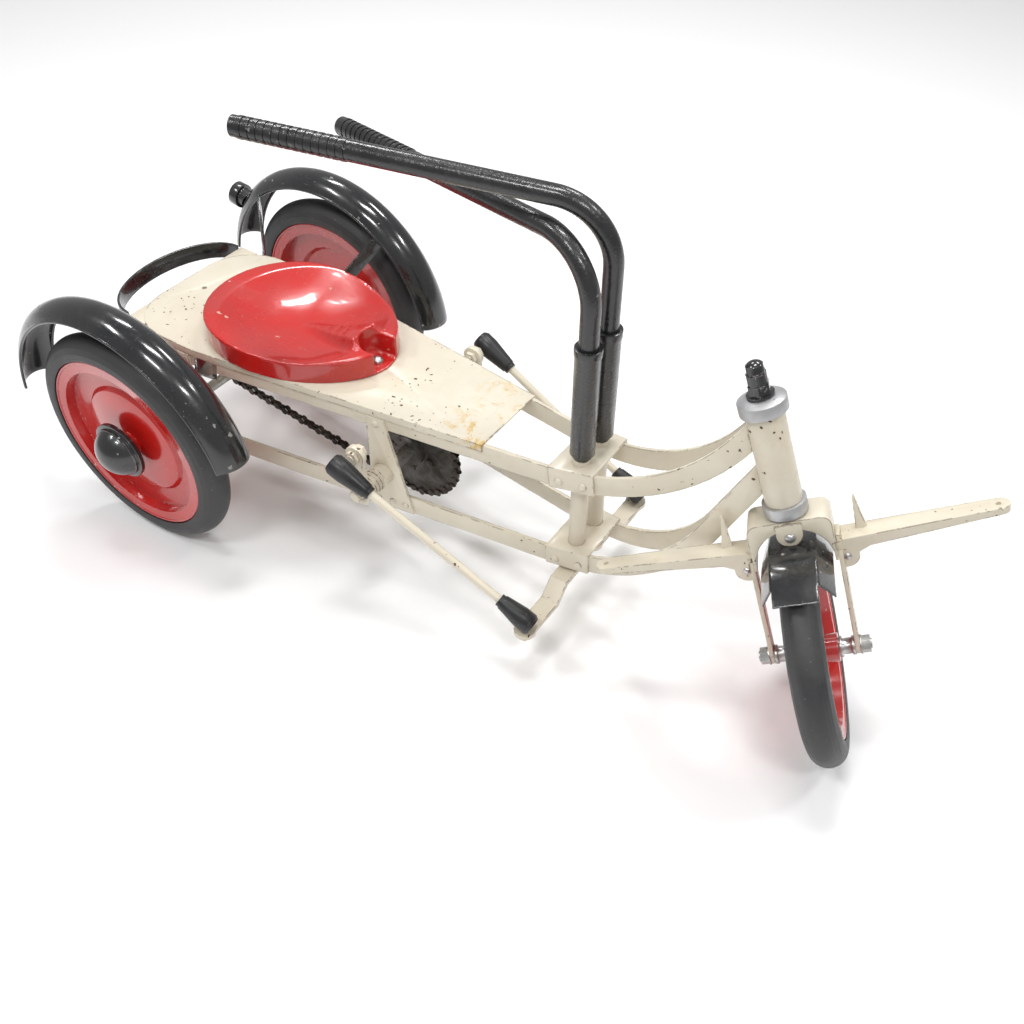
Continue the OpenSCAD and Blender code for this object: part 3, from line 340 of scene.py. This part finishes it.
def makeRubber(name, look, axle=None):
    material, tree, shader = startMaterial(name)
    grime = placeGroup(tree, "grime", {"Scale": look["grimeScale"], "Contrast": 0.7})
    dust = placeGroup(tree, "flecks", {"Scale": 210.0, "Cover": 0.5})
    colour = mixColours(tree, grime, look["rubber"], look["dusty"])
    tree.links.new(mixColours(tree, mathNode(tree, "MULTIPLY", dust, 0.35), colour, look["dust"]),
                   shader.inputs["Base Color"])
    tree.links.new(mixNumbers(tree, grime, look["rough"][0], look["rough"][1]), shader.inputs["Roughness"])
    grain = noiseNode(tree, objectCoords(tree), 260.0, 4.0, 0.65)
    if axle:
        mapping = tree.nodes.new("ShaderNodeMapping")
        mapping.inputs["Location"].default_value = axle["back"]
        mapping.inputs["Rotation"].default_value = axle["turn"]
        mapping.vector_type = "POINT"
        tree.links.new(objectCoords(tree), mapping.inputs["Vector"])
        rings = tree.nodes.new("ShaderNodeGroup")
        rings.node_tree = groups["turnedRings"]
        rings.inputs["Spacing"].default_value = look["ringSpacing"]
        tree.links.new(mapping.outputs["Vector"], rings.inputs["Vector"])
        grain = mathNode(tree, "ADD", mathNode(tree, "MULTIPLY", grain, 0.35), rings.outputs["Height"])
    addBump(tree, shader, grain, look["bump"])
    return material


rubberLooks = {
    "tyreRubber": {"rubber": (0.022, 0.023, 0.025), "dusty": (0.05, 0.05, 0.051), "dust": (0.16, 0.15, 0.14),
                   "rough": (0.42, 0.66), "grimeScale": 16.0, "bump": 0.0002, "ringSpacing": 0.0065},
    "bootRubber": {"rubber": (0.011, 0.011, 0.012), "dusty": (0.024, 0.024, 0.025), "dust": (0.1, 0.09, 0.08),
                   "rough": (0.3, 0.5), "grimeScale": 34.0, "bump": 0.0001},
}


def mid(node):
    low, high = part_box(node)
    return (low + high) / 2


def axleOf(node):  # the axle lies across the machine at the rear wheels
    centre = mid(node)
    return {"back": -centre, "turn": (0, 0, 0)}


steering = [j for j in frame["joints"] if j["name"] == "front_wheel_spin"][0]
wheelAxis = Vector(steering["axis"]).normalized()
turnToY = wheelAxis.rotation_difference(Vector((0, 1, 0)))
frontCentre = mid("front_tyre")
frontAxle = {"back": -(turnToY @ frontCentre), "turn": tuple(turnToY.to_euler())}
materials["rearTyreRubber"] = makeRubber("rearTyreRubber", rubberLooks["tyreRubber"], axleOf("rear_tyre_right"))
materials["frontTyreRubber"] = makeRubber("frontTyreRubber", rubberLooks["tyreRubber"], frontAxle)
materials["bootRubber"] = makeRubber("bootRubber", rubberLooks["bootRubber"])


def makeLampGlass():
    look = {"glass": (0.16, 0.012, 0.01), "dark": (0.05, 0.006, 0.006)}
    material, tree, shader = startMaterial("lampGlass")
    grime = placeGroup(tree, "grime", {"Scale": 60.0, "Contrast": 0.8})
    tree.links.new(mixColours(tree, grime, look["glass"], look["dark"]), shader.inputs["Base Color"])
    tree.links.new(mixNumbers(tree, grime, 0.12, 0.3), shader.inputs["Roughness"])
    wave = tree.nodes.new("ShaderNodeTexWave")
    wave.inputs["Scale"].default_value = 90.0
    tree.links.new(objectCoords(tree), wave.inputs["Vector"])
    addBump(tree, shader, wave.outputs["Fac"], 0.0004)
    return material


materials["lampGlass"] = makeLampGlass()
print("materials made:", len(materials))


def pick(piece):
    if bpy.context.mode != "OBJECT":
        bpy.ops.object.mode_set(mode="OBJECT")
    bpy.ops.object.select_all(action="DESELECT")
    piece.select_set(True)
    bpy.context.view_layer.objects.active = piece


def applyAll(piece):
    pick(piece)
    for modifier in list(piece.modifiers):
        bpy.ops.object.modifier_apply(modifier=modifier.name)


def mergedCopy(node, name, flat=0.4):  # a welded copy of a CAD node's mesh
    source = nodes[node]
    piece = bpy.data.objects.new(name, source.data.copy())
    scene.collection.objects.link(piece)
    pick(piece)
    bpy.ops.mesh.customdata_custom_splitnormals_clear()
    bpy.ops.object.mode_set(mode="EDIT")
    bpy.ops.mesh.select_all(action="SELECT")
    bpy.ops.mesh.remove_doubles(threshold=0.00001)
    if flat:
        bpy.ops.mesh.dissolve_limited(angle_limit=math.radians(flat), delimit=set())
    bpy.ops.object.mode_set(mode="OBJECT")
    return piece


def dress(piece, material):
    piece.data.materials.clear()
    piece.data.materials.append(materials[material])


def standFor(piece, node, material, smooth=35):
    pick(piece)
    bpy.ops.object.shade_smooth_by_angle(angle=math.radians(smooth))
    dress(piece, material)
    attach(piece, bodyOf[node])
    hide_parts(node)


def eased(node, name, width, material, segments=2, smooth=35):  # pressed or cast part with eased corners
    piece = mergedCopy(node, name)
    bevel = piece.modifiers.new("easedEdges", "BEVEL")
    bevel.width = width
    bevel.segments = segments
    bevel.limit_method = "ANGLE"
    bevel.angle_limit = math.radians(38)
    applyAll(piece)
    standFor(piece, node, material, smooth)
    return piece


easedParts = {  # node: name, corner width in metres, finish
    "frame_upper_bar_right": ("upperBarRight", 0.0006, "creamEnamel"),
    "frame_upper_bar_left": ("upperBarLeft", 0.0006, "creamEnamel"),
    "frame_lower_bar_right": ("lowerBarRight", 0.0006, "creamEnamel"),
    "frame_lower_bar_left": ("lowerBarLeft", 0.0006, "creamEnamel"),
    "upper_cross_bracket": ("upperBracket", 0.0007, "creamEnamel"),
    "lower_cross_bracket": ("lowerBracket", 0.0007, "creamEnamel"),
    "handle_bearing_tubes": ("bearingTubes", 0.0006, "creamEnamel"),
    "rear_cross_beam": ("crossBeam", 0.0007, "creamEnamel"),
    "deck_plate": ("deckPlate", 0.0007, "deckEnamel"),
    "head_tube": ("headTube", 0.0006, "creamEnamel"),
    "head_cups": ("headCups", 0.0009, "silverPaint"),
    "crank_brackets": ("crankBrackets", 0.0007, "creamEnamel"),
    "crank_bushes": ("crankBushes", 0.0005, "creamEnamel"),
    "axle_hangers": ("axleHangers", 0.0007, "creamEnamel"),
    "fork_crown": ("forkCrown", 0.0009, "creamEnamel"),
    "fork_blades": ("forkBlades", 0.0012, "creamEnamel"),
    "foot_bar_right": ("footBarRight", 0.0008, "creamEnamel"),
    "foot_bar_left": ("footBarLeft", 0.0008, "creamEnamel"),
    "lever_arm_right": ("leverArmRight", 0.0008, "creamEnamel"),
    "lever_arm_left": ("leverArmLeft", 0.0008, "creamEnamel"),
    "crank_arms": ("crankArms", 0.0007, "creamEnamel"),
    "crank_studs": ("crankStuds", 0.0004, "creamEnamel"),
    "stem_nuts": ("stemNuts", 0.0005, "blackEnamel"),
    "fork_fasteners": ("forkFasteners", 0.0004, "zincPlate"),
    "chainwheel": ("chainWheel", 0.0003, "wheelSteel"),
    "handle_socket_right": ("socketRight", 0.0008, "handleEnamel"),
    "handle_socket_left": ("socketLeft", 0.0008, "handleEnamel"),
    "mudguard_stays": ("guardStays", 0.0005, "blackEnamel"),
    "rear_hoop": ("rearHoop", 0.0006, "blackEnamel"),
    "rod_boots_right": ("bootsRight", 0.0012, "bootRubber"),
    "rod_boots_left": ("bootsLeft", 0.0012, "bootRubber"),
    "mudguard_right": ("guardRight", 0.0005, "blackEnamel"),
    "mudguard_left": ("guardLeft", 0.0005, "blackEnamel"),
    "hub_cap_right": ("hubCapRight", 0.0012, "blackEnamel"),
    "hub_cap_left": ("hubCapLeft", 0.0012, "blackEnamel"),
    "rear_rim_right": ("rimRight", 0.0010, "redEnamel"),
    "rear_rim_left": ("rimLeft", 0.0010, "redEnamel"),
    "front_rim": ("frontRim", 0.0008, "redEnamel"),
    "tail_lamp": ("tailLamp", 0.0008, "blackEnamel"),
    "tail_lamp_lens": ("lampLens", 0.0006, "lampGlass"),
}
for node, (name, width, finish) in easedParts.items():
    eased(node, name, width, finish)
print("sheet metal done:", len(easedParts))


def evenedCopy(node, name, voxel, smoothing):  # thin sheet pressed to soft curves
    piece = mergedCopy(node, name, 0)
    remesh = piece.modifiers.new("evenSkin", "REMESH")
    remesh.mode = "VOXEL"
    remesh.voxel_size = voxel
    soften = piece.modifiers.new("softCorners", "SMOOTH")
    soften.factor = 0.5
    soften.iterations = smoothing
    applyAll(piece)
    return piece


def pushArea(piece, chosen, lift, reach, falloff):  # moves chosen points, and the skin round them
    pick(piece)
    bpy.ops.object.mode_set(mode="EDIT")
    bpy.ops.mesh.select_all(action="DESELECT")
    bpy.ops.object.mode_set(mode="OBJECT")
    for vertex in piece.data.vertices:
        vertex.select = bool(chosen(vertex.co))
    bpy.ops.object.mode_set(mode="EDIT")
    bpy.ops.transform.translate(value=(0, 0, lift), use_proportional_edit=True,
                                proportional_edit_falloff=falloff, proportional_size=reach)
    bpy.ops.object.mode_set(mode="OBJECT")


seat = {"voxel": 0.0012, "smoothing": 16, "dish": 0.0045, "dishReach": 0.07, "thigh": 0.0035, "thighReach": 0.05,
        "ridgeSteps": 6, "ridgeRise": 0.0019, "ridgeHalf": 0.22, "ridgeReach": 0.011, "notch": 0.034}
seatLow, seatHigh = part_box("seat_pan")
seatMid = (seatLow + seatHigh) / 2
seatPan = evenedCopy("seat_pan", "seatPan", seat["voxel"], seat["smoothing"])
pushArea(seatPan, lambda p: p.z > seatLow.z + 0.008 and math.hypot(p.x - seatMid.x + 0.03, p.y) < 0.012,
         -seat["dish"], seat["dishReach"], "SMOOTH")
for thighSide in (-1, 1):
    pushArea(seatPan, lambda p: p.z > seatLow.z + 0.008
             and math.hypot(p.x - seatMid.x - 0.045, p.y - thighSide * 0.045) < 0.010,
             -seat["thigh"], seat["thighReach"], "SMOOTH")
ridgeRun = seatHigh.x - seat["notch"] - seatMid.x
for step in range(seat["ridgeSteps"]):  # the wedge between the thighs, higher towards the notch
    begin = seatMid.x + ridgeRun * step / seat["ridgeSteps"]
    pushArea(seatPan, lambda p: p.z > seatLow.z + 0.008 and begin < p.x < seatHigh.x - seat["notch"] + 0.004
             and abs(p.y) < (p.x - seatMid.x) * seat["ridgeHalf"],
             seat["ridgeRise"], seat["ridgeReach"], "SHARP")
settle = seatPan.modifiers.new("settle", "SMOOTH")
settle.factor = 0.5
settle.iterations = 3
applyAll(seatPan)
standFor(seatPan, "seat_pan", "redEnamel", 60)
print("seat done")


frontGuard = evenedCopy("front_mudguard", "frontGuard", 0.0007, 24)
standFor(frontGuard, "front_mudguard", "blackEnamel", 60)
print("front guard done")


chainLook = {"plateHalf": 0.0043, "plateThick": 0.0010, "innerY": 0.0022, "outerY": 0.0033, "roller": 0.0036,
             "pinHalf": 0.0040}
smallLow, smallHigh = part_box("rear_sprocket")
bigLow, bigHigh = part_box("chainwheel")
chainLow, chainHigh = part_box("chain")
smallMid = (smallLow + smallHigh) / 2
bigMid = (bigLow + bigHigh) / 2
toothTip = 0.0032
smallRadius = (smallHigh.z - smallLow.z) / 2 - toothTip
bigRadius = (bigHigh.z - bigLow.z) / 2 - toothTip
centreGap = bigMid.x - smallMid.x
lean = math.acos((smallRadius - bigRadius) / centreGap)
straightRun = centreGap * math.sin(lean)
lengths = [2 * lean * bigRadius, straightRun, (2 * math.pi - 2 * lean) * smallRadius, straightRun]
linkCount = 2 * round(sum(lengths) / 0.0127 / 2)
linkPitch = sum(lengths) / linkCount
chainY = (chainLow.y + chainHigh.y) / 2


def chainPoint(distance):  # pitch point on the loop, from the chainwheel's lower tangent
    distance %= sum(lengths)
    if distance < lengths[0]:
        turn = -lean + distance / bigRadius
        return Vector((bigMid.x + bigRadius * math.cos(turn), chainY, bigMid.z + bigRadius * math.sin(turn)))
    distance -= lengths[0]
    upperBig = Vector((bigMid.x + bigRadius * math.cos(lean), chainY, bigMid.z + bigRadius * math.sin(lean)))
    upperSmall = Vector((smallMid.x + smallRadius * math.cos(lean), chainY,
                         smallMid.z + smallRadius * math.sin(lean)))
    if distance < lengths[1]:
        return upperBig.lerp(upperSmall, distance / lengths[1])
    distance -= lengths[1]
    if distance < lengths[2]:
        turn = lean + distance / smallRadius
        return Vector((smallMid.x + smallRadius * math.cos(turn), chainY,
                       smallMid.z + smallRadius * math.sin(turn)))
    distance -= lengths[2]
    lowerBig = Vector((upperBig.x, chainY, 2 * bigMid.z - upperBig.z))
    lowerSmall = Vector((upperSmall.x, chainY, 2 * smallMid.z - upperSmall.z))
    return lowerSmall.lerp(lowerBig, distance / lengths[3])


def linkPlate(side):  # a plate with two round ends
    bpy.ops.object.select_all(action="DESELECT")
    bpy.ops.mesh.primitive_cylinder_add(vertices=14, radius=chainLook["plateHalf"], depth=chainLook["plateThick"],
                                        location=(0, side, 0), rotation=(math.pi / 2, 0, 0))
    plate = bpy.context.object
    bpy.ops.object.transform_apply(location=True, rotation=True, scale=True)
    for end in (-1, 1):
        bpy.ops.object.mode_set(mode="OBJECT")
        for vertex in plate.data.vertices:
            vertex.select = vertex.co.x * end > 0.0001
        bpy.ops.object.mode_set(mode="EDIT")
        bpy.ops.transform.translate(value=(end * linkPitch / 2, 0, 0))
    bpy.ops.object.mode_set(mode="OBJECT")
    return plate


def linkPin(place, radius, half):
    bpy.ops.object.select_all(action="DESELECT")
    bpy.ops.mesh.primitive_cylinder_add(vertices=10, radius=radius, depth=2 * half, location=(place, 0, 0),
                                        rotation=(math.pi / 2, 0, 0))
    bpy.ops.object.transform_apply(location=True, rotation=True, scale=True)
    return bpy.context.object


def joined(parts, name):
    bpy.ops.object.select_all(action="DESELECT")
    for part in parts:
        part.select_set(True)
    bpy.context.view_layer.objects.active = parts[0]
    bpy.ops.object.join()
    parts[0].name = name
    return parts[0]


innerLink = joined([linkPlate(-chainLook["innerY"]), linkPlate(chainLook["innerY"]),
                    linkPin(-linkPitch / 2, chainLook["roller"], 0.0018),
                    linkPin(linkPitch / 2, chainLook["roller"], 0.0018)], "innerLink")
outerLink = joined([linkPlate(-chainLook["outerY"]), linkPlate(chainLook["outerY"]),
                    linkPin(-linkPitch / 2, 0.0016, chainLook["pinHalf"]),
                    linkPin(linkPitch / 2, 0.0016, chainLook["pinHalf"])], "outerLink")
links = []
for index in range(linkCount):
    start, end = chainPoint(index * linkPitch), chainPoint((index + 1) * linkPitch)
    run = (end - start).normalized()
    model = outerLink if index % 2 else innerLink
    link = bpy.data.objects.new("link", model.data.copy())
    scene.collection.objects.link(link)
    turn = Matrix(((run.x, 0, -run.z), (0, 1, 0), (run.z, 0, run.x))).to_4x4()
    link.data.transform(Matrix.Translation((start + end) / 2) @ turn)
    links.append(link)
bpy.data.objects.remove(innerLink)
bpy.data.objects.remove(outerLink)
chainLinks = joined(links, "chainLinks")
standFor(chainLinks, "chain", "oilySteel", 40)
print("chain done:", linkCount, "links")


keptFinishes = {
    "rear_tyre_right": "rearTyreRubber", "rear_tyre_left": "rearTyreRubber", "front_tyre": "frontTyreRubber",
    "seat_bolt": "zincPlate", "steering_stem": "blackEnamel", "front_axle": "zincPlate", "rear_axle": "zincPlate",
    "crank_shaft": "zincPlate", "rear_sprocket": "oilySteel", "frame_rivets": "creamEnamel",
    "push_rod_right": "creamEnamel", "push_rod_left": "creamEnamel",
    "handle_tube_right": "handleEnamel", "handle_tube_left": "handleEnamel",
    "handle_grip_right": "handleEnamel", "handle_grip_left": "handleEnamel",
}
for node, finish in keptFinishes.items():
    dress(nodes[node], finish)
print("kept nodes dressed:", len(keptFinishes))


studio = {"floor": 14.0, "pale": (0.95, 0.95, 0.95), "lamp": 11.0, "lampSize": (0.5, 0.22), "height": 2.1,
          "world": 0.42}
scene.view_settings.view_transform = "Standard"
bpy.ops.object.select_all(action="DESELECT")
bpy.ops.mesh.primitive_plane_add(size=studio["floor"], location=(0, 0, -0.0005))
floor = bpy.context.object
floor.name = "floor"
floorMaterial, floorTree, floorShader = startMaterial("paleFloor")
mottle = placeGroup(floorTree, "grime", {"Scale": 2.0, "Contrast": 0.05})
floorTree.links.new(mixColours(floorTree, mottle, studio["pale"], (0.92, 0.92, 0.92)), floorShader.inputs["Base Color"])
floorShader.inputs["Roughness"].default_value = 0.9
floor.data.materials.append(floorMaterial)


def softBox(name, place, size, power, aim=(0, 0, 0.2)):
    lamp = bpy.data.lights.new(name, "AREA")
    lamp.shape = "RECTANGLE"
    lamp.size, lamp.size_y = size
    lamp.energy = power
    holder = bpy.data.objects.new(name, lamp)
    scene.collection.objects.link(holder)
    holder.location = place
    holder.rotation_euler = (Vector(aim) - Vector(place)).to_track_quat("-Z", "Y").to_euler()


for number, (x, y) in enumerate(((-1.3, -0.9), (-1.3, 0.9), (0.0, -1.3), (0.0, 1.3), (1.3, -0.9), (1.3, 0.9),
                                 (-0.1, 0.1))):
    softBox("tube%d" % number, (x, y, studio["height"]), studio["lampSize"], studio["lamp"])
world = bpy.data.worlds.new("studioAir")
world.use_nodes = True
world.node_tree.nodes["Background"].inputs["Color"].default_value = (1, 1, 1, 1)
world.node_tree.nodes["Background"].inputs["Strength"].default_value = studio["world"]
scene.world = world

view = {"side": 29.33, "down": 46.71, "roll": 3.3, "distance": 1.22049, "aim": (0.11432, 0.0, 0.03572),
        "lens": 38.365, "shift": (-0.0572, 0.0553)}
side, down, roll = (math.radians(view[label]) for label in ("side", "down", "roll"))
back = Vector((math.sin(side) * math.cos(down), -math.cos(side) * math.cos(down), math.sin(down)))
right = (-back).cross(Vector((0, 0, 1))).normalized()
upward = right.cross(-back)
tiltedRight = right * math.cos(roll) + upward * math.sin(roll)
tiltedUp = upward * math.cos(roll) - right * math.sin(roll)
cameraData = bpy.data.cameras.new("camera")
cameraData.lens = view["lens"]
cameraData.shift_x, cameraData.shift_y = view["shift"]
camera = bpy.data.objects.new("camera", cameraData)
scene.collection.objects.link(camera)
stand = Vector(view["aim"]) + back * view["distance"]
camera.matrix_world = Matrix.Translation(stand) @ Matrix((tiltedRight, tiltedUp, back)).transposed().to_4x4()
scene.camera = camera
print("studio done")
